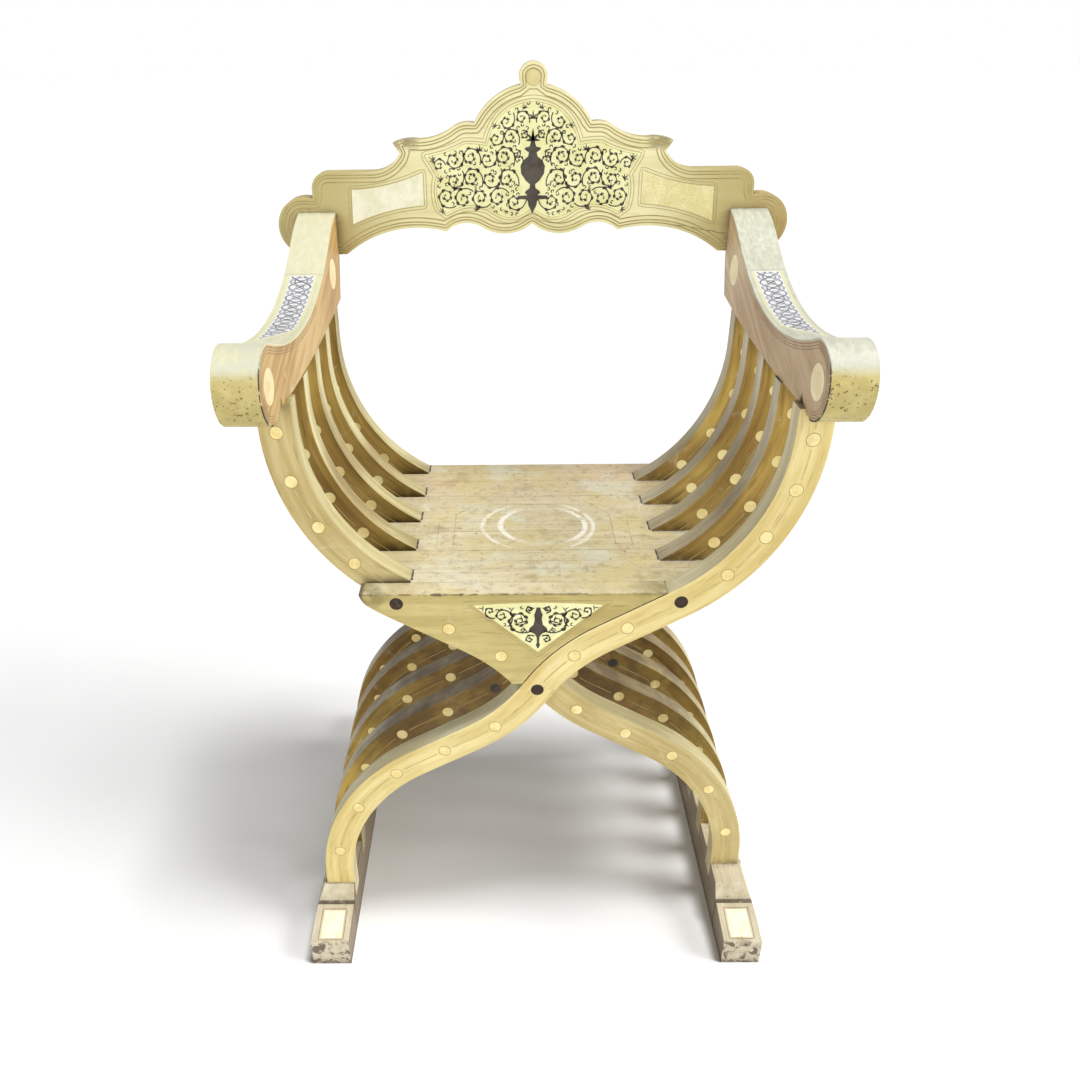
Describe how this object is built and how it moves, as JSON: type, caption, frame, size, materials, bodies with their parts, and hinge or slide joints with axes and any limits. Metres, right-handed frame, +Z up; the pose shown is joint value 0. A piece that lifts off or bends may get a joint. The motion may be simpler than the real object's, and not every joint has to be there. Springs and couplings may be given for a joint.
{
  "type": "folding armchair",
  "caption": "Folding X-frame armchair of interleaved curved staves with a slatted seat, S-shaped arms, sledge feet and a shaped crest rail that pulls off.",
  "frame": {"origin": "on the floor under the middle of the chair", "axes": "+Z up, -Y towards the front where the sitter's feet are, +X to the right seen from the front"},
  "size_m": [0.594, 0.491, 0.9395],
  "materials": {
    "stave_wood": "waxed",
    "frame_wood": "waxed",
    "seat_wood": "worn wax",
    "worn_wood": "worn",
    "dark_wood": "oiled",
    "pale_veneer": "waxed",
    "bone": "polished bone",
    "inlay_panel": "inlaid veneer"
  },
  "bodies": {
    "root": {"arm_right": "frame_wood", "arm_right_discs": "bone", "arm_right_pegs": "dark_wood", "arm_right_veneer": "pale_veneer", "foot_left": "worn_wood", "foot_left_inlay": "bone", "foot_left_pegs": "dark_wood", "pivot_rod": "dark_wood", "pivot_spacers": "dark_wood", "pivot_washers": "dark_wood", "seat_rod_right": "dark_wood", "stave_right_1": "stave_wood", "stave_right_2": "stave_wood", "stave_right_3": "stave_wood", "stave_right_4": "stave_wood", "stave_right_5": "stave_wood", "stave_right_discs": "bone"},
    "left_frame": {"arm_left": "frame_wood", "arm_left_discs": "bone", "arm_left_pegs": "dark_wood", "arm_left_veneer": "pale_veneer", "foot_right": "worn_wood", "foot_right_inlay": "bone", "foot_right_pegs": "dark_wood", "seat_rod_left": "dark_wood", "stave_left_1": "stave_wood", "stave_left_2": "stave_wood", "stave_left_3": "stave_wood", "stave_left_4": "stave_wood", "stave_left_5": "stave_wood", "stave_left_discs": "bone"},
    "seat_left": {"apron_discs": "bone", "apron_panel": "inlay_panel", "front_apron": "seat_wood", "seat_slat_left_2": "seat_wood", "seat_slat_left_3": "seat_wood", "seat_slat_left_4": "seat_wood", "seat_slat_left_5": "seat_wood"},
    "seat_right": {"seat_slat_between_1": "seat_wood", "seat_slat_between_2": "seat_wood", "seat_slat_between_3": "seat_wood", "seat_slat_between_4": "seat_wood", "seat_slat_right_1": "seat_wood", "seat_slat_right_2": "seat_wood", "seat_slat_right_3": "seat_wood", "seat_slat_right_4": "seat_wood", "seat_slat_right_5": "seat_wood"},
    "crest": {"crest_centre_panel": "inlay_panel", "crest_finial_disc": "bone", "crest_rail": "frame_wood", "crest_side_panel_left": "inlay_panel", "crest_side_panel_right": "inlay_panel", "crest_tongues": "dark_wood"}
  },
  "joints": [
    {"name": "fold", "type": "hinge", "parent": "root", "child": "left_frame", "pos_m": [0, 0, 0.355], "axis": [0, 1, 0], "range_deg": [0, 52]},
    {"name": "seat_left_slats", "type": "hinge", "parent": "left_frame", "child": "seat_left", "pos_m": [-0.1465, 0, 0.46407], "axis": [0, 1, 0], "range_deg": [-91.5, 0]},
    {"name": "seat_right_slats", "type": "hinge", "parent": "root", "child": "seat_right", "pos_m": [0.1465, 0, 0.46407], "axis": [0, 1, 0], "range_deg": [0, 91.5]},
    {"name": "crest_pull", "type": "slide", "parent": "root", "child": "crest", "axis": [0, 1, 0], "range_m": [0, 0.03]}
  ],
  "couplings": [
    {"joint": "seat_left_slats", "follows": "fold", "ratio": -1.75},
    {"joint": "seat_right_slats", "follows": "fold", "ratio": 1.75}
  ]
}
